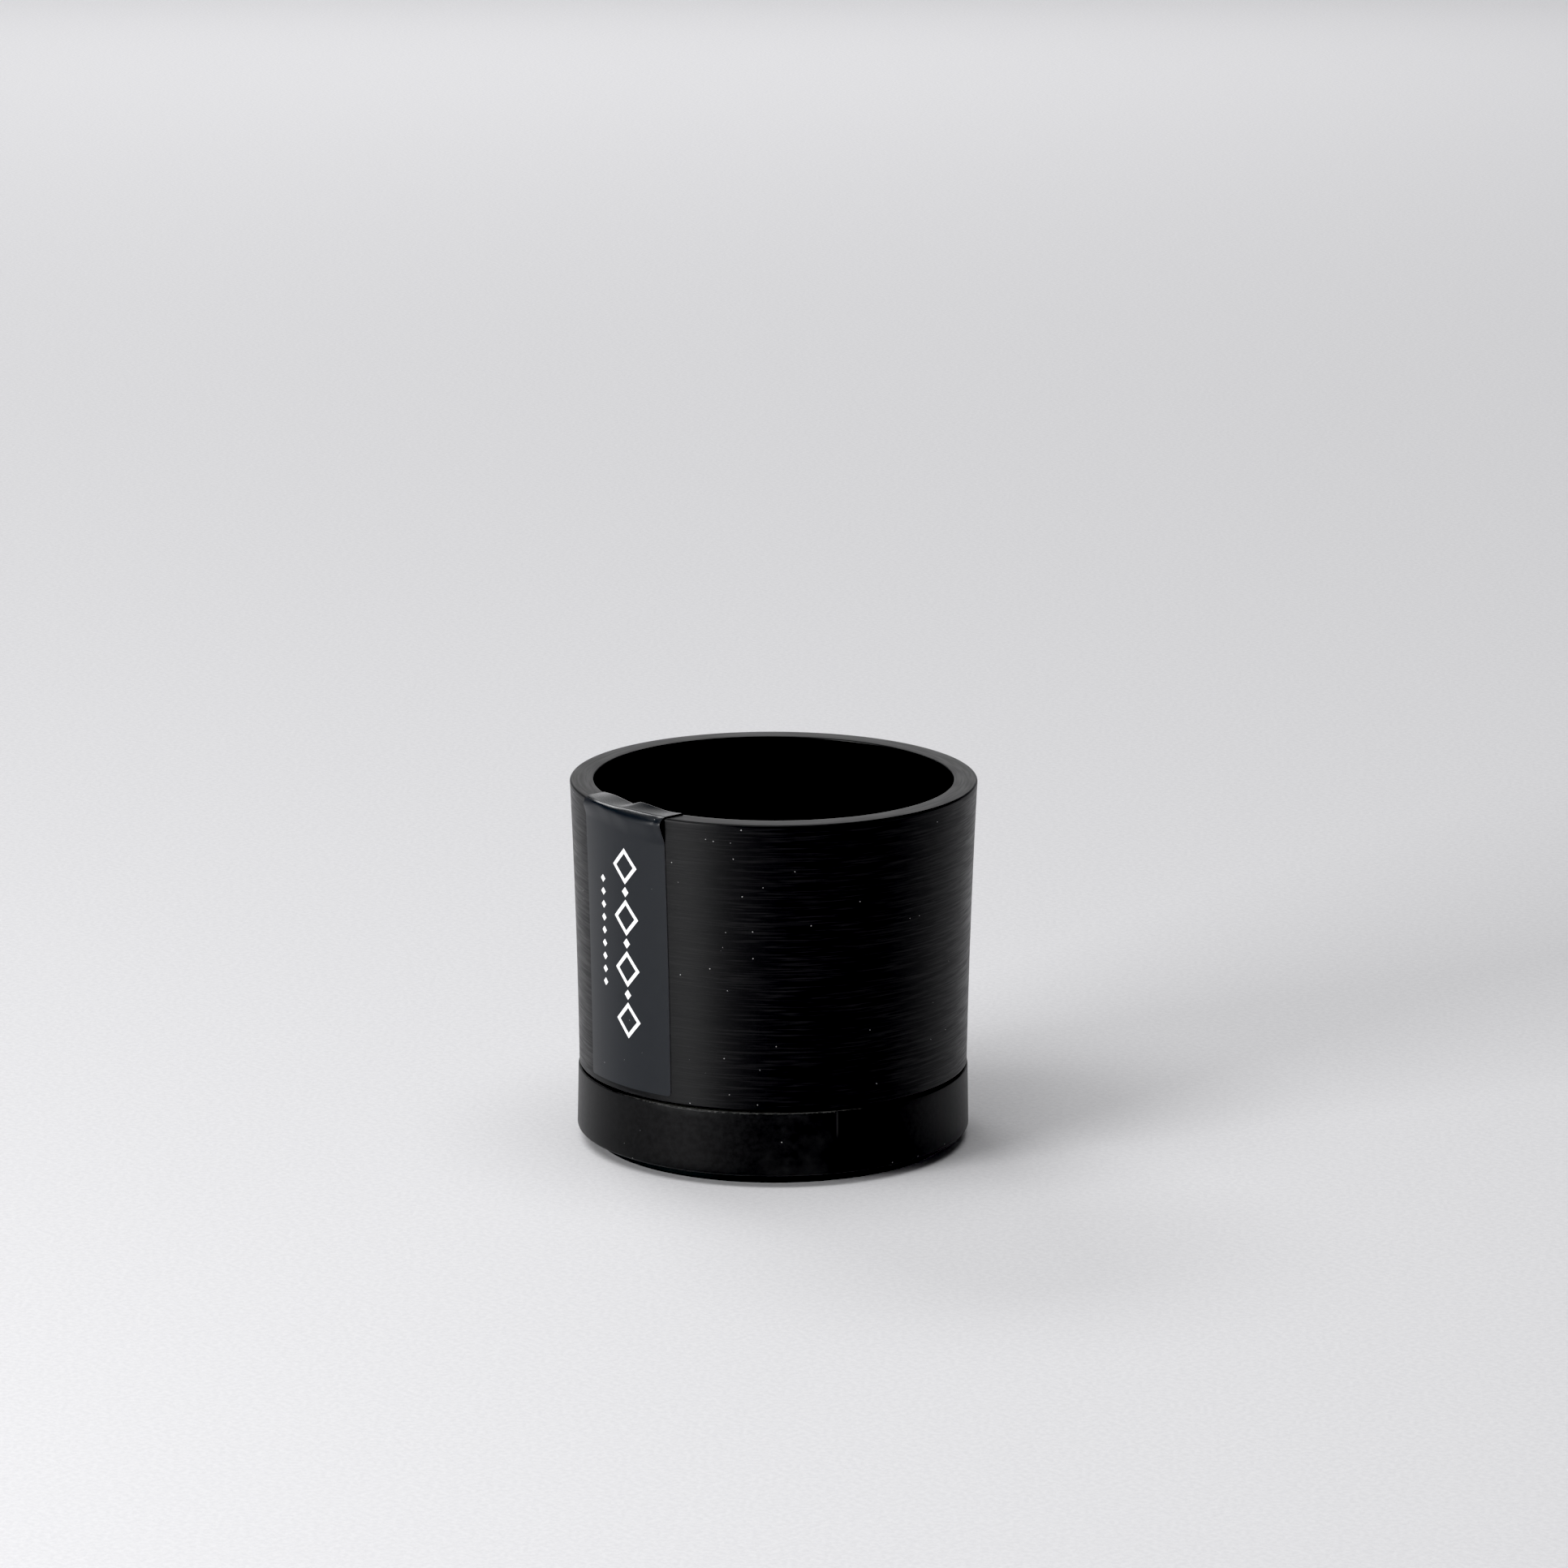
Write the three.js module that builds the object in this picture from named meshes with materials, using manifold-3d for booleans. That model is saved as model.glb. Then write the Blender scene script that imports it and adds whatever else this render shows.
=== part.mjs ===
// Empty candle jar: a thick-walled round jar whose stepped foot sits in a shallow base tray, with a
// non-slip pad under the tray and a paper label folded over the jar's rim.
// Millimetres, +Z up. The origin is the centre of the pad's underside. The label faces -Y.
import * as THREE from "three";
import { mergeVertices } from "three/addons/utils/BufferGeometryUtils.js";
import Module from "manifold-3d";

// Driving dimensions
const RIM_RADIUS = 43;
const HEIGHT = 77.9;
const WALL = 5; // at the rim
const SEAM_HEIGHT = 16.3; // middle of the gap between the jar and the tray
const SEAM_GAP = 0.5;

const JAR_FOOT_RADIUS = 41.2; // the outer wall just above the seam
const FLARE_BOW = 0.25; // how far the outer wall bows in from a straight cone at mid-height
const RIM_OUTER_ROUND = 0.8;
const RIM_INNER_ROUND = 0.4;
const SPIGOT_RADIUS = 37.9; // the step that sits inside the tray
const SPIGOT_ROUND = 1.2;
const FLOOR_THICKNESS = 5;
const FLOOR_FILLET = 4.5; // between the inner wall and the floor
const INNER_FOOT_RADIUS = 35; // the inner wall where the fillet starts

const TRAY_RADIUS = 41.65;
const TRAY_TOP_RADIUS = 41.4;
const TRAY_BORE = 38.3;
const TRAY_FLOOR = 3.6; // thickness
const TRAY_EDGE = 0.7; // lower chamfer
const TRAY_LIP_ROUND = 0.4;
const TRAY_INNER_FILLET = 0.8;

const PAD_RADIUS = 37.9;
const PAD_THICKNESS = 2.4;
const PAD_ROUND = 0.4;

const LABEL_WIDTH = 25.1; // straight across; about 25.4 along the curve
const LABEL_THICKNESS = 0.25;
const LABEL_GAP = 0.1; // clear of the jar, where the real one is glued
const LABEL_BOTTOM = 18;
const LABEL_FLAP = 11; // how far it reaches down inside

const SEGMENTS = 72; // round each turned piece
const WALL_STEPS = 6;
const ARC_STEPS = 3;

const TRAY_FLOOR_TOP = PAD_THICKNESS + TRAY_FLOOR;
const TRAY_TOP = SEAM_HEIGHT - SEAM_GAP / 2;
const SHOULDER = SEAM_HEIGHT + SEAM_GAP / 2;
const INNER_FLOOR = TRAY_FLOOR_TOP + FLOOR_THICKNESS;
const INNER_RIM_RADIUS = RIM_RADIUS - WALL;

const wasm = await Module();
wasm.setup();

const point = (radius, height) => new THREE.Vector2(radius, height);

// Points along a round corner about (radius, height), from one angle to another in degrees.
function arc(radius, height, round, from, to, steps = ARC_STEPS) {
  const points = [];
  for (let i = 0; i <= steps; i++) {
    const angle = THREE.MathUtils.degToRad(from + ((to - from) * i) / steps);
    points.push(point(radius + round * Math.cos(angle), height + round * Math.sin(angle)));
  }
  return points;
}

// A profile turned about Z. Facets, not edges, face the four axes.
function turned(profile) {
  const half = Math.PI / SEGMENTS;
  return new THREE.LatheGeometry(profile, SEGMENTS, half).rotateX(Math.PI / 2);
}

function solidOf(geometry) {
  const bare = geometry.clone();
  bare.deleteAttribute("normal");
  bare.deleteAttribute("uv");
  const merged = mergeVertices(bare, 1e-4);
  const vertProperties = merged.attributes.position.array;
  const triVerts = new Uint32Array(merged.index.array);
  return new wasm.Manifold(new wasm.Mesh({ numProp: 3, vertProperties, triVerts }));
}

function geometryOf(solid) {
  const { vertProperties, triVerts } = solid.getMesh();
  const geometry = new THREE.BufferGeometry();
  geometry.setAttribute("position", new THREE.BufferAttribute(vertProperties, 3));
  geometry.setIndex(new THREE.BufferAttribute(triVerts, 1));
  geometry.computeVertexNormals();
  return geometry;
}

// The outer wall's radius: a cone from foot to rim that bows in a little.
function wallRadius(height) {
  const up = (height - SHOULDER) / (HEIGHT - SHOULDER);
  const cone = THREE.MathUtils.lerp(JAR_FOOT_RADIUS, RIM_RADIUS, up);
  return cone - 4 * FLARE_BOW * up * (1 - up);
}

// The inner wall's radius: a plain taper.
function boreRadius(height) {
  const low = INNER_FLOOR + FLOOR_FILLET;
  const up = (height - low) / (HEIGHT - RIM_INNER_ROUND - low);
  return THREE.MathUtils.lerp(INNER_FOOT_RADIUS, INNER_RIM_RADIUS, up);
}

// The outer wall from one height up to the rim's round corner.
function wallPath(from) {
  const top = HEIGHT - RIM_OUTER_ROUND;
  const points = [];
  for (let i = 0; i < WALL_STEPS; i++) {
    const height = THREE.MathUtils.lerp(from, top, i / WALL_STEPS);
    points.push(point(wallRadius(height), height));
  }
  return points;
}

// Over the rim, from the outer wall to the inner wall.
function rimPath() {
  const outer = RIM_RADIUS - RIM_OUTER_ROUND;
  const inner = INNER_RIM_RADIUS + RIM_INNER_ROUND;
  return [
    ...arc(outer, HEIGHT - RIM_OUTER_ROUND, RIM_OUTER_ROUND, 0, 90),
    ...arc(inner, HEIGHT - RIM_INNER_ROUND, RIM_INNER_ROUND, 90, 180, 2),
  ];
}

function jarGeometry() {
  const spigotCorner = SPIGOT_RADIUS - SPIGOT_ROUND;
  const filletCentre = INNER_FOOT_RADIUS - FLOOR_FILLET;
  return turned([
    point(0, TRAY_FLOOR_TOP),
    ...arc(spigotCorner, TRAY_FLOOR_TOP + SPIGOT_ROUND, SPIGOT_ROUND, -90, 0),
    point(SPIGOT_RADIUS, SHOULDER),
    ...wallPath(SHOULDER),
    ...rimPath(),
    ...arc(filletCentre, INNER_FLOOR + FLOOR_FILLET, FLOOR_FILLET, 0, -90, 5),
    point(0, INNER_FLOOR),
  ]);
}

function trayGeometry() {
  const lip = TRAY_TOP_RADIUS - TRAY_LIP_ROUND;
  const boreCorner = TRAY_BORE - TRAY_INNER_FILLET;
  return turned([
    point(0, PAD_THICKNESS),
    point(TRAY_RADIUS - TRAY_EDGE, PAD_THICKNESS),
    point(TRAY_RADIUS, PAD_THICKNESS + TRAY_EDGE),
    ...arc(lip, TRAY_TOP - TRAY_LIP_ROUND, TRAY_LIP_ROUND, 0, 90),
    point(TRAY_BORE, TRAY_TOP),
    ...arc(boreCorner, TRAY_FLOOR_TOP + TRAY_INNER_FILLET, TRAY_INNER_FILLET, 0, -90),
    point(0, TRAY_FLOOR_TOP),
  ]);
}

function padGeometry() {
  return turned([
    point(0, 0),
    ...arc(PAD_RADIUS - PAD_ROUND, PAD_ROUND, PAD_ROUND, -90, 0),
    point(PAD_RADIUS, PAD_THICKNESS),
    point(0, PAD_THICKNESS),
  ]);
}

// A path shifted sideways to its right-hand side by a distance, with mitred corners.
function offsetPath(path, distance) {
  return path.map((here, i) => {
    const before = path[Math.max(i - 1, 0)];
    const after = path[Math.min(i + 1, path.length - 1)];
    const into = (i ? here.clone().sub(before) : after.clone().sub(here)).normalize();
    const out = (i < path.length - 1 ? after.clone().sub(here) : here.clone().sub(before)).normalize();
    const normal = point(into.y + out.y, -into.x - out.x).normalize();
    const miter = distance / (normal.x * into.y - normal.y * into.x);
    return here.clone().addScaledVector(normal, miter);
  });
}

// The label: a ring over the rim that follows both walls, cut to the label's width.
function labelGeometry() {
  const flapEnd = HEIGHT - LABEL_FLAP;
  const path = [...wallPath(LABEL_BOTTOM), ...rimPath(), point(boreRadius(flapEnd), flapEnd)];
  const skin = offsetPath(path, LABEL_GAP + LABEL_THICKNESS);
  const glued = offsetPath(path, LABEL_GAP).reverse();
  const ring = solidOf(turned([...skin, ...glued, skin[0].clone()]));
  const reach = RIM_RADIUS + WALL;
  const strip = new THREE.BoxGeometry(LABEL_WIDTH, reach, 2 * HEIGHT).translate(0, -reach / 2, HEIGHT);
  return geometryOf(ring.intersect(solidOf(strip)));
}

function piece(name, geometry, color, roughness) {
  const material = new THREE.MeshStandardMaterial({ color, roughness, metalness: 0 });
  const mesh = new THREE.Mesh(geometry, material);
  mesh.name = name;
  return mesh;
}

const jar = new THREE.Group();
jar.add(piece("jar_body", jarGeometry(), 0x17181b, 0.55));
jar.add(piece("label", labelGeometry(), 0x2c2e33, 0.6));

const base = new THREE.Group();
base.add(piece("base_tray", trayGeometry(), 0x141415, 0.5));
base.add(piece("foot_pad", padGeometry(), 0x0d0f10, 0.65));

const candleJar = new THREE.Group();
candleJar.add(base, jar);

export default candleJar;
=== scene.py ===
"""The looks of the empty candle jar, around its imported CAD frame. Metres, +Z up, label facing -Y."""

import math

import bpy
from mathutils import Matrix, Vector


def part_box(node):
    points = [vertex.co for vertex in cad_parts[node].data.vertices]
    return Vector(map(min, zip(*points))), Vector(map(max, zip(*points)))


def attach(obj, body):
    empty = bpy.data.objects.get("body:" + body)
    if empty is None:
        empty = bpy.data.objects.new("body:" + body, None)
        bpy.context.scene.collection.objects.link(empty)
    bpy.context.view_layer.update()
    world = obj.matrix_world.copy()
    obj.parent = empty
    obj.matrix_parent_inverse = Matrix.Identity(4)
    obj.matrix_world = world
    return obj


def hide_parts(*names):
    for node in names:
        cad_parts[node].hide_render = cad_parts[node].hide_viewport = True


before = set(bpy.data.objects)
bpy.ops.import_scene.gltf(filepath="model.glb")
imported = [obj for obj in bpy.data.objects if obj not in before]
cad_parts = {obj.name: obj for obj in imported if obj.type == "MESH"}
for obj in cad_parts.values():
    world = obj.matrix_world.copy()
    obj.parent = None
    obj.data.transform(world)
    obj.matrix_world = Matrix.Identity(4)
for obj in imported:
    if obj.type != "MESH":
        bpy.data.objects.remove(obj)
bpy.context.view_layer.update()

MM = 0.001

# ---------------------------------------------------------------- sizes, from the frame

JAR_LOW, JAR_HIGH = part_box("jar_body")
TRAY_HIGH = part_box("base_tray")[1]
PAD_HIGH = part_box("foot_pad")[1]
LABEL_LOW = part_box("label")[0]

CAD_SEGMENTS = 72  # round a turned CAD piece
FACET = math.cos(math.radians(180 / CAD_SEGMENTS))  # its facets lie this much nearer the axis
RIM_R = JAR_HIGH.x / FACET
RIM_Z = JAR_HIGH.z
TRAY_R = TRAY_HIGH.x / FACET
TRAY_Z = TRAY_HIGH.z
PAD_R = PAD_HIGH.x / FACET
PAD_Z = PAD_HIGH.z

SEAM_GAP = 0.5 * MM
SHOULDER_Z = TRAY_Z + SEAM_GAP
SPIGOT_Z = JAR_LOW.z
WALL_FOOT_R = RIM_R - 1.8 * MM
FLARE_BOW = 0.25 * MM
WALL = 5 * MM
RIM_ROUND = 0.5 * MM
LIP_ROUND = 0.3 * MM
SPIGOT_R = RIM_R - 5.1 * MM
BORE_FOOT_R = RIM_R - 8.0 * MM
FLOOR_Z = SPIGOT_Z + 5 * MM
FLOOR_FILLET = 4.5 * MM
BORE_R = RIM_R - WALL

TRAY_TOP_R = TRAY_R - 0.25 * MM
TRAY_BORE_R = TRAY_R - 3.35 * MM
TRAY_EDGE = 0.7 * MM
TRAY_LIP = 0.35 * MM
TRAY_FILLET = 0.8 * MM

DUSTY_AZIMUTH = 18  # the side of the jar that more dust lies on, in degrees from -Y towards +X
WORN_AZIMUTH = 38  # the side of the tray whose upper edge is worn
SMUDGED_AZIMUTH = 56  # where it has a pale smudge
SCRATCHED_AZIMUTH = 67.4  # and a short scratch

LABEL_WIDTH = 25.4 * MM
LABEL_THICK = 0.16 * MM
LABEL_FOOT_Z = LABEL_LOW.z
LABEL_FLAP = 11 * MM

TURNS = 288  # segments round a turned piece
PROFILE_STEP = 1.5 * MM  # the longest stretch of its profile
WALL_STEPS = 40  # stretches up the flared wall

# ---------------------------------------------------------------- camera

CAMERA_AZIMUTH = 48.6
CAMERA_ELEVATION = 16.27
CAMERA_DISTANCE = 1.536
CAMERA_AIM = (2.18 * MM, 76.45 * MM)  # to the right of the axis, and up
CAMERA_ROLL = 0.13
CAMERA_LENS = 165


def make_camera():
    azimuth, elevation = math.radians(CAMERA_AZIMUTH), math.radians(CAMERA_ELEVATION)
    back = Vector((math.sin(azimuth), -math.cos(azimuth), 0)) * math.cos(elevation)
    back.z = math.sin(elevation)
    right = Vector((math.cos(azimuth), math.sin(azimuth), 0))
    place = back * CAMERA_DISTANCE
    aim = right * CAMERA_AIM[0] + Vector((0, 0, CAMERA_AIM[1]))
    data = bpy.data.cameras.new("camera")
    data.lens = CAMERA_LENS
    data.sensor_width = 36
    data.clip_start, data.clip_end = 0.05, 50
    camera = bpy.data.objects.new("camera", data)
    bpy.context.collection.objects.link(camera)
    turn = (aim - place).to_track_quat("-Z", "Y").to_matrix()
    turn = turn @ Matrix.Rotation(math.radians(CAMERA_ROLL), 3, "Z")
    camera.matrix_world = Matrix.Translation(place) @ turn.to_4x4()
    bpy.context.scene.camera = camera
    return right, Vector((-back.x, -back.y, 0)).normalized()


RIGHT, AWAY = make_camera()

# ---------------------------------------------------------------- mesh helpers


def arc(radius, height, bend, start, end, steps=8):
    """Points along a round corner about (radius, height), between two angles in degrees."""
    angles = [math.radians(start + (end - start) * i / steps) for i in range(steps + 1)]
    return [(radius + bend * math.cos(a), height + bend * math.sin(a)) for a in angles]


def spaced(profile, step):
    """The profile with points added, so that none of its stretches is longer than step."""
    points = [profile[0]]
    for (r0, z0), (r1, z1) in zip(profile, profile[1:]):
        parts = max(1, math.ceil(math.hypot(r1 - r0, z1 - z0) / step))
        for i in range(1, parts + 1):
            points.append((r0 + (r1 - r0) * i / parts, z0 + (z1 - z0) * i / parts))
    return points


def mesh_object(name, points, faces, smooth_angle=35):
    mesh = bpy.data.meshes.new(name)
    mesh.from_pydata(points, [], faces)
    mesh.polygons.foreach_set("use_smooth", [True] * len(mesh.polygons))
    mesh.set_sharp_from_angle(angle=math.radians(smooth_angle))
    mesh.update()
    thing = bpy.data.objects.new(name, mesh)
    bpy.context.collection.objects.link(thing)
    return thing


def turned(name, profile):
    """A closed mesh turned about Z. The profile runs up the outside, from the axis back to the axis."""
    points, faces = [(0, 0, profile[0][1])], []
    for radius, height in profile[1:-1]:
        for i in range(TURNS):
            angle = 2 * math.pi * i / TURNS
            points.append((radius * math.sin(angle), -radius * math.cos(angle), height))
    points.append((0, 0, profile[-1][1]))
    rings, top = len(profile) - 2, len(points) - 1
    for i in range(TURNS):
        j = (i + 1) % TURNS
        faces.append((0, 1 + j, 1 + i))
        for ring in range(rings - 1):
            low, high = 1 + ring * TURNS, 1 + (ring + 1) * TURNS
            faces.append((low + i, low + j, high + j, high + i))
        last = 1 + (rings - 1) * TURNS
        faces.append((last + i, last + j, top))
    return mesh_object(name, points, faces)


def sheet_mesh(name, columns, rows, place, thickness):
    """A closed thin sheet. place(column, row, height) gives a point that far above the glued side."""
    points, faces = [], []
    across, along = len(columns), len(rows)
    for height in (0, thickness):
        for row in rows:
            points += [place(column, row, height) for column in columns]
    size = across * along
    for j in range(along - 1):
        for i in range(across - 1):
            a = j * across + i
            b, c, d = a + 1, a + 1 + across, a + across
            faces.append((size + a, size + b, size + c, size + d))
            faces.append((d, c, b, a))
    edge = list(range(across))
    edge += [j * across + across - 1 for j in range(1, along)]
    edge += [(along - 1) * across + i for i in range(across - 2, -1, -1)]
    edge += [j * across for j in range(along - 2, 0, -1)]
    for a, b in zip(edge, edge[1:] + edge[:1]):
        faces.append((a, b, size + b, size + a))
    return mesh_object(name, points, faces)


def smooth_step(x):
    x = min(1, max(0, x))
    return x * x * (3 - 2 * x)


def blend(a, b, t):
    return a + (b - a) * t


# ---------------------------------------------------------------- material helpers


OBJECT_COORDINATES = 3  # which output of the Texture Coordinate node they are


class Shader:
    """A material with one Principled shader, and short calls for the nodes that feed it."""

    def __init__(self, name, color, roughness, ior=1.45, specular=0.5):
        self.material = bpy.data.materials.new(name)
        self.material.use_nodes = True
        self.tree = self.material.node_tree
        self.main = self.tree.nodes["Principled BSDF"]
        self.set("Base Color", (*color, 1))
        self.set("Roughness", roughness)
        self.set("IOR", ior)
        self.set("Specular IOR Level", specular)

    def set(self, socket, value):
        self.put(self.main.inputs[socket], value)

    def put(self, socket, value):
        if isinstance(value, bpy.types.NodeSocket):
            self.tree.links.new(value, socket)
        else:
            socket.default_value = value

    def node(self, kind, inputs, output=0, **settings):
        """A new node's output. inputs holds values or sockets, and settings the node's own choices."""
        made = self.tree.nodes.new(kind)
        for key, value in settings.items():
            setattr(made, key, value)
        for key, value in inputs.items():
            self.put(made.inputs[key], value)
        return made.outputs[output]

    def math(self, operation, a, b=0.0, c=0.0, clamp=False):
        inputs = {0: a, 1: b, 2: c}
        return self.node("ShaderNodeMath", inputs, operation=operation, use_clamp=clamp)

    def ramp(self, value, low, high, to_low=0.0, to_high=1.0):
        """value taken smoothly from between low and high to between to_low and to_high."""
        inputs = {0: value, 1: low, 2: high, 3: to_low, 4: to_high}
        return self.node("ShaderNodeMapRange", inputs, interpolation_type="SMOOTHSTEP")

    def mix(self, factor, a, b):
        """Colour a where factor is 0 and b where it is 1."""
        made = self.tree.nodes.new("ShaderNodeMix")
        made.data_type = "RGBA"
        self.put(made.inputs[0], factor)
        for socket, value in ((made.inputs[6], a), (made.inputs[7], b)):
            self.put(socket, value if isinstance(value, bpy.types.NodeSocket) else (*value, 1))
        return made.outputs[2]

    def noise(self, vector, scale, detail=2.0, roughness=0.5):
        inputs = {"Vector": vector, "Scale": scale, "Detail": detail, "Roughness": roughness}
        return self.node("ShaderNodeTexNoise", inputs)

    def place(self):
        """The point in the object's own frame, in millimetres."""
        here = self.node("ShaderNodeTexCoord", {}, output=OBJECT_COORDINATES)
        return self.node("ShaderNodeVectorMath", {0: here, 3: 1 / MM}, operation="SCALE")

    def split(self, vector):
        made = self.tree.nodes.new("ShaderNodeSeparateXYZ")
        self.put(made.inputs[0], vector)
        return made.outputs

    def join(self, x, y, z):
        return self.node("ShaderNodeCombineXYZ", {0: x, 1: y, 2: z})

    def radius(self, x, y):
        """How far a point is from the axis."""
        squares = self.math("ADD", self.math("MULTIPLY", x, x), self.math("MULTIPLY", y, y))
        return self.math("SQRT", squares)

    def turned_place(self, along, across):
        """A point for noise that is drawn out round the axis: `along` mm long there, `across` mm wide."""
        x, y, z = self.split(self.place())
        step = self.math("SUBTRACT", z, self.radius(x, y))
        x = self.math("DIVIDE", x, along)
        y = self.math("DIVIDE", y, along)
        return self.join(x, y, self.math("DIVIDE", step, across))

    def facing(self, azimuth, none, full):
        """A mask round the axis: 1 within `full` degrees of an azimuth, 0 from `none` degrees away."""
        x, y, _ = self.split(self.place())
        a = math.radians(azimuth)
        sideways = self.math("MULTIPLY", x, math.sin(a))
        ahead = self.math("SUBTRACT", sideways, self.math("MULTIPLY", y, math.cos(a)))
        cosine = self.math("DIVIDE", ahead, self.radius(x, y))
        return self.ramp(cosine, math.cos(math.radians(none)), math.cos(math.radians(full)))

    def brushed(self, amount):
        """Grooves round the axis, which draw a highlight out across them."""
        self.set("Anisotropic", amount)
        self.set("Anisotropic Rotation", 0.25)
        self.set("Tangent", self.node("ShaderNodeTangent", {}, direction_type="RADIAL", axis="Z"))

    def bump(self, height, distance, normal=None):
        """height 1 stands `distance` metres proud."""
        inputs = {"Height": height, "Distance": distance, "Strength": 1.0}
        if normal is not None:
            inputs["Normal"] = normal
        return self.node("ShaderNodeBump", inputs)

    def specks(self, spacing, size, share):
        """A mask of small dots, `spacing` mm apart on average before only a share of them is kept."""
        cell = self.tree.nodes.new("ShaderNodeTexVoronoi")
        self.put(cell.inputs["Vector"], self.place())
        self.put(cell.inputs["Scale"], 1 / spacing)
        dot = self.math("LESS_THAN", cell.outputs["Distance"], size / spacing / 2)
        red, _, _ = self.split(cell.outputs["Color"])
        kept = self.math("LESS_THAN", red, share)
        return self.math("MULTIPLY", dot, kept)


# ---------------------------------------------------------------- materials


def jar_material():
    """Matte black with fine turned streaks and a little dust."""
    shader = Shader("jar_surface", (0.003, 0.0031, 0.0035), 0.33, specular=0.21)
    grooves = shader.turned_place(9, 0.26)
    fine = shader.noise(grooves, 1.0, detail=2, roughness=0.7)
    broad = shader.noise(shader.turned_place(16, 1.1), 1.0, detail=2)
    streak = shader.math("ADD", shader.math("MULTIPLY", fine, 0.75), shader.math("MULTIPLY", broad, 0.25))
    pale = shader.ramp(shader.noise(grooves, 1.0, detail=2), 0.48, 0.7)
    color = shader.mix(pale, (0.0012, 0.0013, 0.0016), (0.007, 0.007, 0.0074))
    clumps = shader.ramp(shader.noise(shader.place(), 0.09, detail=2), 0.38, 0.62, 0.1, 0.8)
    share = shader.math("MULTIPLY", clumps, shader.facing(DUSTY_AZIMUTH, 48, 18))
    share = shader.math("MAXIMUM", share, 0.06)
    dust = shader.specks(1.5, 0.18, share)
    shader.set("Base Color", shader.mix(dust, color, (0.6, 0.6, 0.61)))
    shader.set("Roughness", shader.ramp(streak, 0.36, 0.64, 0.48, 0.34))
    shader.set("Normal", shader.bump(streak, 0.022 * MM))
    shader.brushed(0.5)
    return shader.material


def rim_material():
    """The smoother turned top of the wall."""
    shader = Shader("rim_surface", (0.003, 0.0031, 0.0035), 0.33, specular=0.15)
    x, y, _ = shader.split(shader.place())
    ring = shader.math("MULTIPLY", shader.radius(x, y), 2.2)
    place = shader.join(shader.math("MULTIPLY", x, 0.12), shader.math("MULTIPLY", y, 0.12), ring)
    fine = shader.noise(place, 1.0, detail=2)
    shader.set("Base Color", shader.mix(fine, (0.0025, 0.0026, 0.003), (0.004, 0.004, 0.0044)))
    shader.set("Roughness", shader.ramp(fine, 0.3, 0.7, 0.37, 0.29))
    shader.set("Normal", shader.bump(fine, 0.006 * MM))
    return shader.material


def bore_material():
    """The dead black inside of the jar."""
    shader = Shader("bore_surface", (0.002, 0.002, 0.002), 0.6, specular=0.06)
    fine = shader.noise(shader.turned_place(9, 0.5), 1.0, detail=3)
    shader.set("Base Color", shader.mix(fine, (0.0015, 0.0015, 0.0016), (0.003, 0.003, 0.0032)))
    shader.set("Roughness", shader.ramp(fine, 0.3, 0.7, 0.55, 0.7))
    shader.set("Normal", shader.bump(fine, 0.01 * MM))
    return shader.material


def tray_material():
    """Smoother matte black, faintly mottled, with a pale smudge, a scratch and a worn upper edge."""
    shader = Shader("tray_surface", (0.003, 0.003, 0.003), 0.36, specular=0.16)
    here = shader.place()
    mottle = shader.noise(here, 0.9, detail=4, roughness=0.65)
    patch = shader.noise(here, 0.09, detail=3, roughness=0.6)
    color = shader.mix(shader.ramp(mottle, 0.3, 0.7), (0.0025, 0.0025, 0.0026), (0.0052, 0.0053, 0.0055))
    smudge = shader.ramp(patch, 0.4, 0.62, 0, 0.35)
    smudge = shader.math("MULTIPLY", smudge, shader.facing(SMUDGED_AZIMUTH, 13, 3))
    color = shader.mix(smudge, color, (0.02, 0.02, 0.0205))
    _, _, height = shader.split(here)
    top = TRAY_Z / MM
    ragged = shader.noise(here, 2.6, detail=4, roughness=0.8)
    edge = shader.math("ADD", height, shader.math("MULTIPLY", ragged, 1.3))
    worn = shader.ramp(edge, top + 0.5, top + 0.62)
    wear = shader.math("MULTIPLY", worn, shader.facing(WORN_AZIMUTH, 46, 20))
    color = shader.mix(wear, color, (0.07, 0.07, 0.068))
    scratch = shader.facing(SCRATCHED_AZIMUTH, 0.35, 0.1)
    scratch = shader.math("MULTIPLY", scratch, shader.ramp(height, top - 6.5, top - 4))
    color = shader.mix(scratch, color, (0.018, 0.018, 0.018))
    dust = shader.specks(2.3, 0.22, 0.2)
    shader.set("Base Color", shader.mix(dust, color, (0.4, 0.4, 0.4)))
    shader.set("Roughness", shader.ramp(mottle, 0.3, 0.7, 0.36, 0.4))
    fine = shader.noise(here, 3.0, detail=2)
    shader.set("Normal", shader.bump(fine, 0.003 * MM, normal=shader.bump(mottle, 0.012 * MM)))
    return shader.material


def pad_material():
    """Dark rubber."""
    shader = Shader("pad_surface", (0.003, 0.004, 0.004), 0.6, specular=0.12)
    grain = shader.noise(shader.place(), 2.5, detail=3)
    shader.set("Base Color", shader.mix(grain, (0.002, 0.0028, 0.003), (0.004, 0.0052, 0.0054)))
    shader.set("Roughness", shader.ramp(grain, 0.3, 0.7, 0.55, 0.7))
    shader.set("Normal", shader.bump(grain, 0.01 * MM))
    return shader.material


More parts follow.
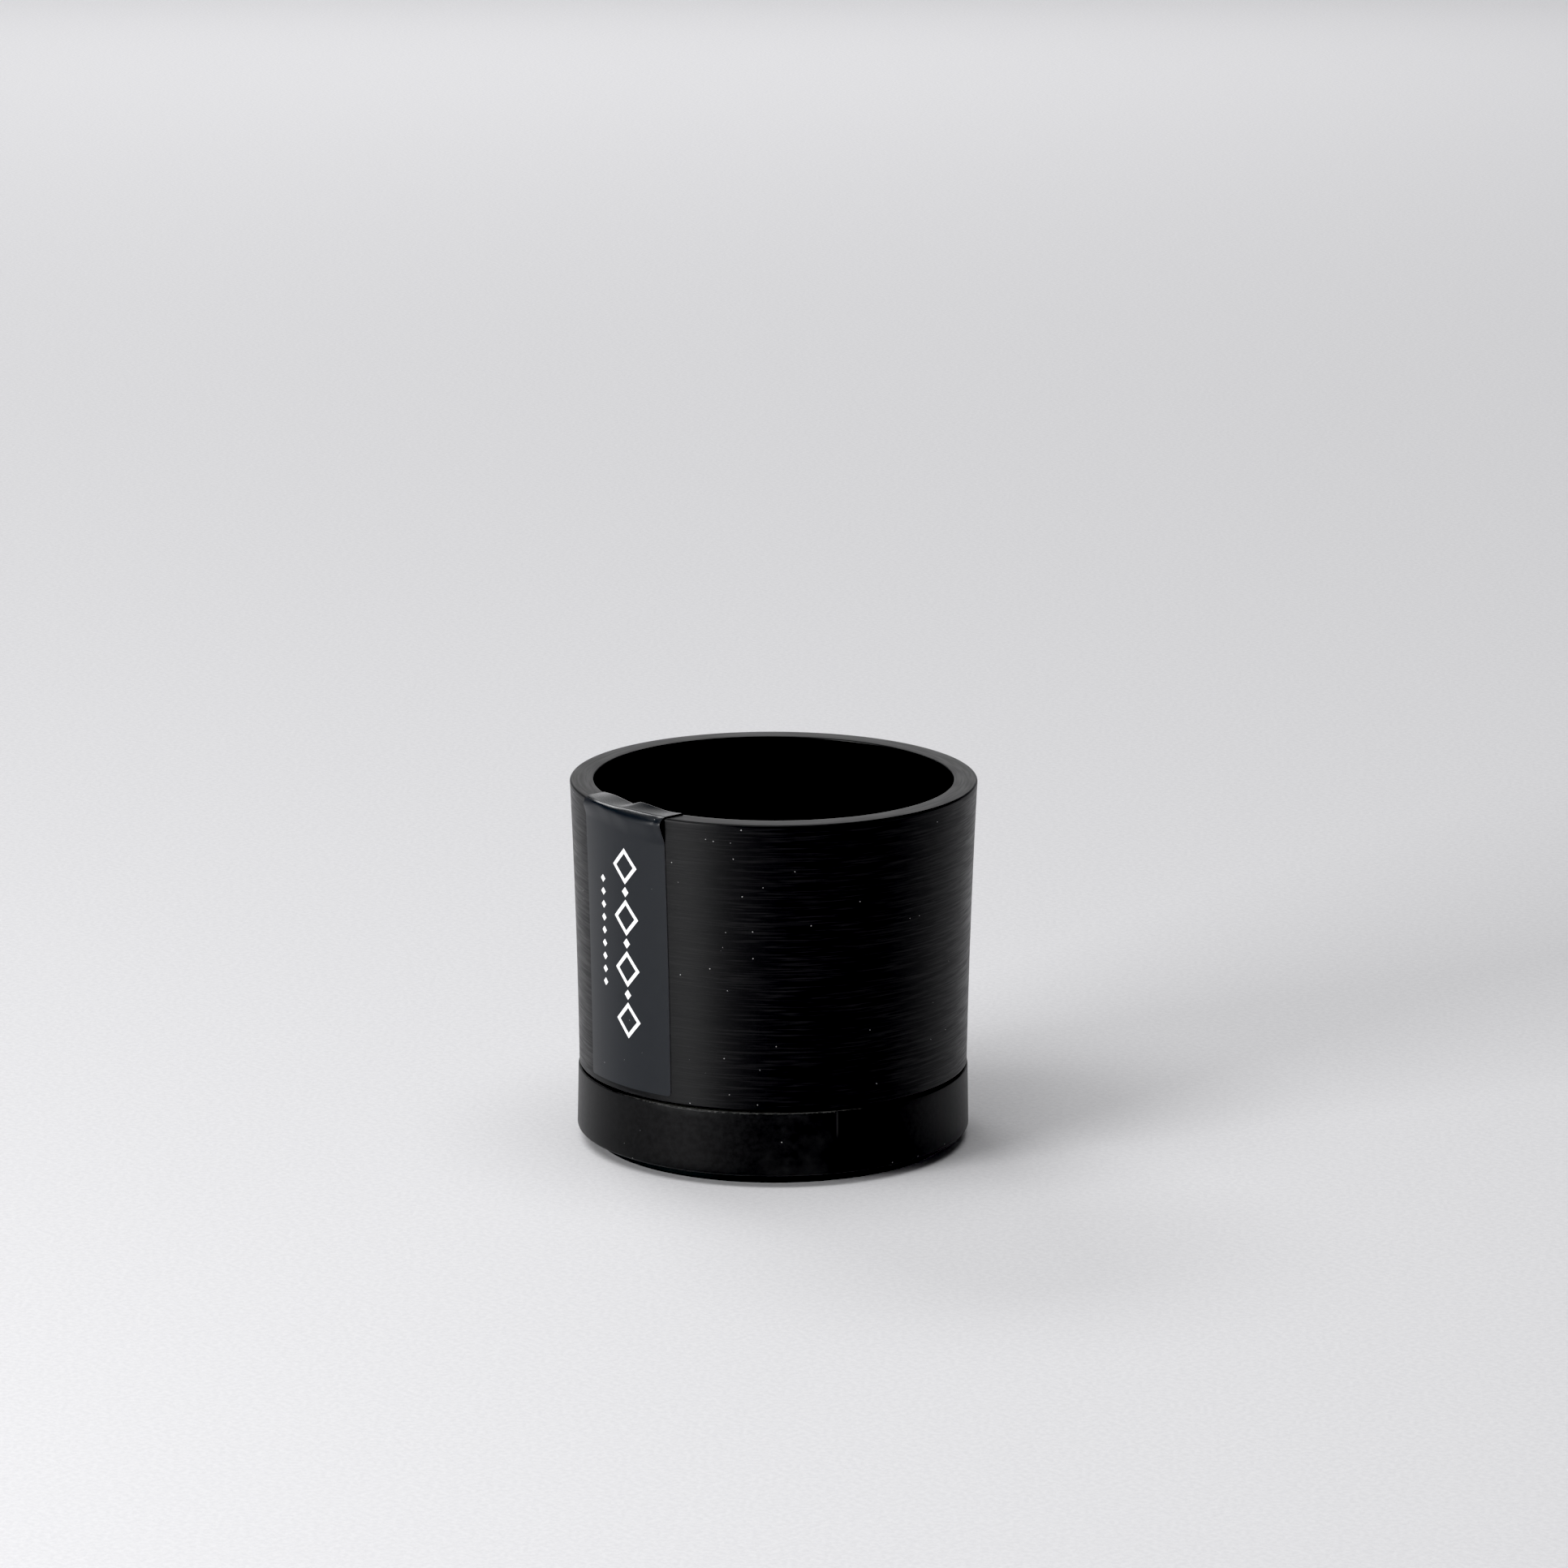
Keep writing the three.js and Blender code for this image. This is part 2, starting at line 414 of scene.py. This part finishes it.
def label_material():
    """Charcoal coated paper, with dust along its foot."""
    shader = Shader("label_surface", (0.004, 0.0055, 0.008), 0.3, specular=0.42)
    fibre = shader.noise(shader.place(), 5.0, detail=4, roughness=0.6)
    cloud = shader.noise(shader.place(), 0.3, detail=2)
    tone = shader.math("ADD", shader.math("MULTIPLY", fibre, 0.5), shader.math("MULTIPLY", cloud, 0.5))
    color = shader.mix(tone, (0.0025, 0.0038, 0.006), (0.005, 0.0068, 0.0095))
    _, _, height = shader.split(shader.place())
    foot = LABEL_FOOT_Z / MM
    dust = shader.specks(1.8, 0.22, shader.ramp(height, foot + 0.6, foot + 3, 0.8, 0.06))
    shader.set("Base Color", shader.mix(dust, color, (0.3, 0.3, 0.3)))
    rim = RIM_Z / MM
    smooth = shader.ramp(height, rim - 0.2, rim + 0.1, 0, 0.1)  # the flap over the rim is rubbed smooth
    rough = shader.ramp(fibre, 0.3, 0.7, 0.28, 0.35)
    shader.set("Roughness", shader.math("SUBTRACT", rough, smooth))
    shader.set("Normal", shader.bump(fibre, 0.002 * MM))
    return shader.material


def edge_highlight_material():
    """The label's cut edge, coloured pale as a painted highlight where light catches the paper's
    thickness.
    """
    shader = Shader("label_edge_painted_highlight", (0.06, 0.06, 0.062), 0.6, specular=0.3)
    fibre = shader.noise(shader.place(), 4.0, detail=2)
    # painted highlight: this pale colour stands for light caught on the paper's cut edge
    shader.set("Base Color", shader.mix(fibre, (0.03, 0.03, 0.032), (0.1, 0.1, 0.104)))
    return shader.material


def ink_material():
    """White print."""
    shader = Shader("label_ink", (0.8, 0.8, 0.8), 0.55)
    grain = shader.noise(shader.place(), 6.0, detail=2)
    shader.set("Base Color", shader.mix(grain, (0.72, 0.72, 0.73), (0.86, 0.86, 0.86)))
    return shader.material


def stage_material():
    """A pale floor with a fine grain."""
    shader = Shader("stage_surface", (0.8, 0.796, 0.81), 0.9, specular=0.1)
    grain = shader.noise(shader.place(), 0.9, detail=3, roughness=0.7)
    color = shader.mix(shader.ramp(grain, 0.3, 0.7), (0.765, 0.763, 0.782), (0.835, 0.833, 0.85))
    shader.set("Base Color", color)
    return shader.material


# ---------------------------------------------------------------- the turned pieces


def wall_radius(height):
    """The outer wall: a cone from foot to rim that bows in a little."""
    up = (height - SHOULDER_Z) / (RIM_Z - SHOULDER_Z)
    return blend(WALL_FOOT_R, RIM_R, up) - 4 * FLARE_BOW * up * (1 - up)


def wall_profile(start):
    top = RIM_Z - RIM_ROUND
    heights = [blend(start, top, i / WALL_STEPS) for i in range(WALL_STEPS)]
    return [(wall_radius(z), z) for z in heights]


def rim_profile():
    outer = arc(RIM_R - RIM_ROUND, RIM_Z - RIM_ROUND, RIM_ROUND, 0, 90, 12)
    inner = arc(BORE_R + LIP_ROUND, RIM_Z - LIP_ROUND, LIP_ROUND, 90, 180, 8)
    return outer + inner


ON_WALL, IN_BORE, ON_RIM = range(3)  # the order of the jar's three materials


def jar_finish(middle):
    """Which of the jar's materials a face has, from the face's middle."""
    slack = 0.02 * MM
    if math.hypot(middle.x, middle.y) < BORE_R - slack and middle.z > FLOOR_Z - slack:
        return IN_BORE
    return ON_RIM if middle.z > RIM_Z - RIM_ROUND else ON_WALL


def make_jar():
    foot = 1.2 * MM
    edge = 0.25 * MM
    profile = [(0, SPIGOT_Z)]
    profile += arc(SPIGOT_R - foot, SPIGOT_Z + foot, foot, -90, 0)
    profile += [(SPIGOT_R, SHOULDER_Z)]
    profile += arc(WALL_FOOT_R - edge, SHOULDER_Z + edge, edge, -90, 0, 4)
    profile += wall_profile(SHOULDER_Z + 2 * edge)
    profile += rim_profile()
    profile += arc(BORE_FOOT_R - FLOOR_FILLET, FLOOR_Z + FLOOR_FILLET, FLOOR_FILLET, 0, -90, 12)
    profile += [(0, FLOOR_Z)]
    jar = turned("jar_shell", spaced(profile, PROFILE_STEP))
    for material in (jar_material(), bore_material(), rim_material()):
        jar.data.materials.append(material)
    for face in jar.data.polygons:
        face.material_index = jar_finish(face.center)
    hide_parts("jar_body")
    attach(jar, "jar")


def make_tray():
    profile = [(0, PAD_Z)]
    profile += [(TRAY_R - TRAY_EDGE - 0.25 * MM, PAD_Z)]
    profile += arc(TRAY_R - TRAY_EDGE, PAD_Z + TRAY_EDGE, TRAY_EDGE, -90, 0, 6)
    profile += arc(TRAY_TOP_R - TRAY_LIP, TRAY_Z - TRAY_LIP, TRAY_LIP, 0, 90, 6)
    profile += arc(TRAY_BORE_R + TRAY_LIP, TRAY_Z - TRAY_LIP, TRAY_LIP, 90, 180, 6)
    profile += arc(TRAY_BORE_R - TRAY_FILLET, SPIGOT_Z + TRAY_FILLET, TRAY_FILLET, 0, -90, 6)
    profile += [(0, SPIGOT_Z)]
    tray = turned("tray_shell", spaced(profile, PROFILE_STEP))
    tray.data.materials.append(tray_material())
    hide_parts("base_tray")
    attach(tray, "base")


def make_pad():
    edge = 0.4 * MM
    profile = [(0, 0)]
    profile += arc(PAD_R - edge, edge, edge, -90, 0, 6)
    profile += [(PAD_R, PAD_Z), (0, PAD_Z)]
    pad = turned("pad_disc", spaced(profile, PROFILE_STEP))
    pad.data.materials.append(pad_material())
    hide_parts("foot_pad")
    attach(pad, "base")


# ---------------------------------------------------------------- the label


HALF_WIDTH = LABEL_WIDTH / 2
LABEL_MIDDLE_R = wall_radius((LABEL_FOOT_Z + RIM_Z) / 2)
GLUE = 0.03 * MM  # how far off the jar the paper's glued side lies
FLAP_END_Z = RIM_Z - LABEL_FLAP
CORNER = 0.7 * MM  # the rounding of the label's two lower corners
LABEL_COLUMNS = 100
CORNER_SHARE = 0.013  # how far up the wall the close rows of the lower corners go
FOLD_SHARE = 0.9  # and where the close rows of the fold start

FLAP_LIFT = 0.12 * MM  # how far the flap lies off the rim, past the glue
FLAP_RIPPLE = 0.04 * MM
FLAP_RIPPLE_LENGTH = 2.1 * MM
FLAP_CURVE = 1.2  # the power that its rise towards the lip follows
LIP_BEND = 0.45 * MM
LIP_RISE = 0.6 * MM  # where the bulge is highest
LIP_INSET = 0.35 * MM  # and how far inwards it goes there
INSIDE_GAP = 0.03 * MM  # how far the paper hangs off the bore, past the glue
DROOP = 0.2  # how far its end hangs off the bore, in mm, and how that varies across
DROOP_WAVE = 0.12
DROOP_LENGTH = 3.4 * MM

# Places across the label, in mm: its left edge, the crease in the flap, and the top and the end of the
# bulge to the right of it.
LEFT_EDGE = -12.7
CREASE = -0.7
CREST = 1.2
BULGE_END = 11.0
LEFT_BULGE = 0.6  # the lower bulge to the left of the crease, as a share of the right one

# The fold at the rim, from the label's left edge to its right: where, how far it stands off the wall,
# the radius it is bent to, and how deep below the rim it starts and ends going back to the wall.
FOLD = (
    (-12.7, 0.8, 1.6, 0.1, 4.0),
    (-6.4, 0.45, 0.8, 0.1, 4.0),
    (-1.8, 0.6, 1.2, 0.1, 4.5),
    (3.8, 0.9, 1.9, 0.2, 5.5),
    (10.7, 1.1, 1.8, 0.6, 6.0),
    (12.7, 1.2, 1.7, 0.8, 6.0),
)


def fold_at(u):
    """The fold's stand-off, bend radius, and the two depths, for a place across the label."""
    place = min(max(u / MM, FOLD[0][0]), FOLD[-1][0])
    for low, high in zip(FOLD, FOLD[1:]):
        if place <= high[0]:
            t = smooth_step((place - low[0]) / (high[0] - low[0]))
            return [blend(a, b, t) * MM for a, b in zip(low[1:], high[1:])]


def bulge_at(u):
    """The flap's rise over the rim: none at a crease, gently up to its left, steeply up and down again
    to its right."""
    across = u / MM
    if across < CREASE:
        return LEFT_BULGE * math.sin(math.pi * (CREASE - across) / (CREASE - LEFT_EDGE))
    if across < CREST:
        return (across - CREASE) / (CREST - CREASE)
    return 1 - smooth_step((across - CREST) / (BULGE_END - CREST))


def bore_radius(z):
    return blend(BORE_FOOT_R, BORE_R, (z - FLOOR_Z) / (RIM_Z - FLOOR_Z))


def wall_paper(u, z):
    """The radius of the paper's glued side on the wall."""
    stand, _, held, gone = fold_at(u)
    left = 1 - smooth_step((RIM_Z - z - held) / (gone - held))
    return wall_radius(z) + GLUE + stand * left


def bent(radius, height, bend, degrees):
    a = math.radians(degrees)
    return radius + bend * math.cos(a), height + bend * math.sin(a)


def paper(u, q):
    """Radius and height of the paper's glued side. q runs 0 to 1 up the wall, then one more for each of
    the fold, the flap over the rim, the lip, and the way down inside."""
    stand, bend, _, _ = fold_at(u)
    bulge = bulge_at(u)
    flap_z = RIM_Z + GLUE + FLAP_LIFT + FLAP_RIPPLE * math.sin(u / FLAP_RIPPLE_LENGTH)
    fold_z = flap_z - bend
    fold_r = wall_paper(u, fold_z) - bend
    lip_z = flap_z + LIP_RISE * bulge
    inset = GLUE + INSIDE_GAP + LIP_INSET * bulge
    lip_r = BORE_R - inset + LIP_BEND
    if q <= 1:
        z = blend(LABEL_FOOT_Z, fold_z, q)
        return wall_paper(u, z), z
    if q <= 2:
        return bent(fold_r, fold_z, bend, 90 * (q - 1))
    if q <= 3:
        return blend(fold_r, lip_r, q - 2), blend(flap_z, lip_z, (q - 2) ** FLAP_CURVE)
    if q <= 4:
        return bent(lip_r, lip_z - LIP_BEND, LIP_BEND, 90 * (q - 2))
    z = blend(lip_z - LIP_BEND, FLAP_END_Z, q - 4)
    droop = (DROOP + DROOP_WAVE * math.sin(u / DROOP_LENGTH)) * MM * (q - 4)
    return bore_radius(z) - inset - droop, z


def on_strip(u, radius, z):
    """The point of the strip at u across: its edges stay parallel all the way over the rim."""
    x = LABEL_MIDDLE_R * math.sin(u / LABEL_MIDDLE_R)
    return x, -math.sqrt(radius * radius - x * x), z


def label_place(u, q, height):
    """A point that far above the paper's glued side."""
    width = HALF_WIDTH
    rise = q * (RIM_Z - LABEL_FOOT_Z)
    if rise < CORNER:
        width -= CORNER - math.sqrt(CORNER * CORNER - (CORNER - rise) ** 2)
    u *= width / HALF_WIDTH
    radius, z = paper(u, q)
    r0, z0 = paper(u, max(0, q - 0.01))
    r1, z1 = paper(u, min(5, q + 0.01))
    span = math.hypot(r1 - r0, z1 - z0)
    return on_strip(u, radius + height * (z1 - z0) / span, z - height * (r1 - r0) / span)


def print_place(u, rise, height):
    """A point above the label's face on the plain wall, that far up from the label's foot."""
    z = LABEL_FOOT_Z + rise
    return on_strip(u, wall_paper(u, z) + LABEL_THICK + height, z)


def label_rows():
    """Steps up the label: close together in its lower corners and at the fold."""
    rows = [CORNER_SHARE * (i / 10) ** 2 for i in range(10)]
    rows += [blend(CORNER_SHARE, FOLD_SHARE, i / 40) for i in range(40)]
    rows += [blend(FOLD_SHARE, 1, i / 36) for i in range(36)]
    for piece, parts in ((1, 14), (2, 30), (3, 8), (4, 14)):
        rows += [piece + i / parts for i in range(parts)]
    return rows + [5]


def make_label():
    steps = range(LABEL_COLUMNS + 1)
    columns = [blend(-HALF_WIDTH, HALF_WIDTH, i / LABEL_COLUMNS) for i in steps]
    rows = label_rows()
    label = sheet_mesh("label_strip", columns, rows, label_place, LABEL_THICK)
    label.data.materials.append(label_material())
    # the strip's side faces take the edge's painted highlight
    label.data.materials.append(edge_highlight_material())
    sides = 2 * (len(columns) - 1) * (len(rows) - 1)
    for face in label.data.polygons:
        face.material_index = 1 if face.index >= sides else 0
    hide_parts("label")
    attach(label, "jar")


INK_LOW, INK_HIGH = 0.004 * MM, 0.02 * MM  # above the label's face
SLANT = 1.45  # a stroke's width along the half axis across the label, over its own width
LEAST_SCALE = 0.001  # keeps a filled lozenge's innermost ring from closing to one point

LARGE_U, SMALL_U = 1.6 * MM, -5.9 * MM  # how far across the label the two rows stand
LARGE_FOOT, SMALL_FOOT = 14.6 * MM, 21.5 * MM  # the middle of each row's first lozenge, up the label
LARGE_PITCH, SMALL_PITCH = 11.1 * MM, 2.8 * MM
LARGE_SIZE = (3.6 * MM, 3.9 * MM)  # half across, half along
DOT_SIZE = (1.0 * MM, 1.1 * MM)
SMALL_SIZE = (0.85 * MM, 0.85 * MM)
LARGE_STROKE = 0.75 * MM
LARGE_COUNT, SMALL_COUNT = 4, 9


def lozenge(points, faces, centre, half_across, half_along, stroke=None):
    """Adds a lozenge printed on the label, filled or as an outline of that stroke."""
    parts = 8
    rings = [1.0, 0.5, 0.0] if stroke is None else [1.0, 1 - stroke * SLANT / half_across]
    corners = [(1, 0), (0, 1), (-1, 0), (0, -1)]
    outline = []
    for (x0, y0), (x1, y1) in zip(corners, corners[1:] + corners[:1]):
        outline += [(blend(x0, x1, i / parts), blend(y0, y1, i / parts)) for i in range(parts)]
    first, count = len(points), len(outline)
    for height in (INK_LOW, INK_HIGH):
        for scale in rings:
            for x, y in outline:
                u = centre[0] + x * half_across * max(scale, LEAST_SCALE)
                s = centre[1] + y * half_along * max(scale, LEAST_SCALE)
                points.append(print_place(u, s, height))
    top = count * len(rings)
    for ring in range(len(rings) - 1):
        for i in range(count):
            j = (i + 1) % count
            a, b = first + ring * count + i, first + ring * count + j
            c, d = b + count, a + count
            faces.append((a, d, c, b))
            faces.append((top + a, top + b, top + c, top + d))
    for ring, way in ((0, 1), (len(rings) - 1, -1)):
        for i in range(count):
            j = (i + 1) % count
            a, b = first + ring * count + i, first + ring * count + j
            faces.append((a, b, top + b, top + a) if way > 0 else (b, a, top + a, top + b))


def make_print():
    """White ornament on the label: a row of open and filled lozenges beside a row of small ones."""
    points, faces = [], []
    for i in range(LARGE_COUNT):
        middle = LARGE_FOOT + i * LARGE_PITCH
        lozenge(points, faces, (LARGE_U, middle), *LARGE_SIZE, LARGE_STROKE)
        if i < LARGE_COUNT - 1:
            lozenge(points, faces, (LARGE_U, middle + LARGE_PITCH / 2), *DOT_SIZE)
    for i in range(SMALL_COUNT):
        lozenge(points, faces, (SMALL_U, SMALL_FOOT + i * SMALL_PITCH), *SMALL_SIZE)
    ornament = mesh_object("label_print", points, faces)
    ornament.data.materials.append(ink_material())
    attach(ornament, "jar")


# ---------------------------------------------------------------- stage and lights


STAGE_RINGS = (0, 0.4, 0.8, 1.4)
STAGE_FLAT = 2.2  # how far the floor runs before it curves up
STAGE_BEND = 1.0
STAGE_TURNS = 96


def make_stage():
    """A pale floor that curves up all round, far from the jar."""
    profile = [(radius, 0) for radius in STAGE_RINGS]
    profile += arc(STAGE_FLAT, STAGE_BEND, STAGE_BEND, -90, 0, 24)
    points, faces = [(0, 0, 0)], []
    for radius, height in profile[1:]:
        for i in range(STAGE_TURNS):
            angle = 2 * math.pi * i / STAGE_TURNS
            points.append((radius * math.sin(angle), -radius * math.cos(angle), height))
    for i in range(STAGE_TURNS):
        j = (i + 1) % STAGE_TURNS
        faces.append((0, 1 + i, 1 + j))
        for ring in range(len(profile) - 2):
            low = 1 + ring * STAGE_TURNS
            high = low + STAGE_TURNS
            faces.append((low + j, low + i, high + i, high + j))
    floor = mesh_object("backdrop", points, faces)
    floor.data.materials.append(stage_material())


def soft_light(name, azimuth, elevation, distance, size, power):
    """An area light. Its azimuth is counted from the camera's side, positive to the camera's right."""
    a, e = math.radians(azimuth), math.radians(elevation)
    way = (RIGHT * math.sin(a) - AWAY * math.cos(a)) * math.cos(e) + Vector((0, 0, math.sin(e)))
    data = bpy.data.lights.new(name, "AREA")
    data.shape = "RECTANGLE"
    data.size, data.size_y = size
    data.energy = power
    light = bpy.data.objects.new(name, data)
    middle = Vector((0, 0, RIM_Z / 2))
    light.location = middle + way * distance
    light.visible_camera = False
    light.rotation_mode = "QUATERNION"
    light.rotation_quaternion = (-way).to_track_quat("-Z", "Y")
    bpy.context.collection.objects.link(light)


LIGHTS = {
    "low_left": (-51, 10.5, 1.4, (0.6, 0.3), 19),
    "left_top": (-72, 56, 1.5, (0.6, 0.6), 4.5),
    "back_top": (-152, 38, 2.8, (1.2, 0.6), 15),
    "front_high": (-35, 60, 1.6, (0.7, 0.7), 2),
    "behind": (180, 17, 1.9, (1.0, 0.8), 1.7),
}
WORLD_BANDS = ((-1.0, 0.0), (0.87, 0.0), (0.93, 2.05), (1.0, 2.05))  # sine of the elevation, brightness
BLACK_LEVEL = 0.0115


def make_world():
    world = bpy.data.worlds.new("world")
    bpy.context.scene.world = world
    world.use_nodes = True
    tree = world.node_tree
    background = tree.nodes["Background"]
    coordinates = tree.nodes.new("ShaderNodeTexCoord")
    split = tree.nodes.new("ShaderNodeSeparateXYZ")
    half = tree.nodes.new("ShaderNodeMapRange")
    ramp = tree.nodes.new("ShaderNodeValToRGB")
    half.inputs[1].default_value = -1
    ramp.color_ramp.interpolation = "LINEAR"
    while len(ramp.color_ramp.elements) < len(WORLD_BANDS):
        ramp.color_ramp.elements.new(0.5)
    for element, (height, value) in zip(ramp.color_ramp.elements, WORLD_BANDS):
        element.position = (height + 1) / 2
        element.color = (value, value, value, 1)
    tree.links.new(coordinates.outputs["Generated"], split.inputs[0])
    tree.links.new(split.outputs[2], half.inputs[0])
    tree.links.new(half.outputs[0], ramp.inputs[0])
    tree.links.new(ramp.outputs[0], background.inputs["Color"])


def set_tones():
    settings = bpy.context.scene.view_settings
    settings.view_transform = "Standard"
    settings.use_curve_mapping = True
    settings.curve_mapping.black_level = (BLACK_LEVEL,) * 3
    settings.curve_mapping.update()


make_stage()
make_world()
for light_name, light_facts in LIGHTS.items():
    soft_light(light_name, *light_facts)
set_tones()

make_jar()
make_tray()
make_pad()
make_label()
make_print()
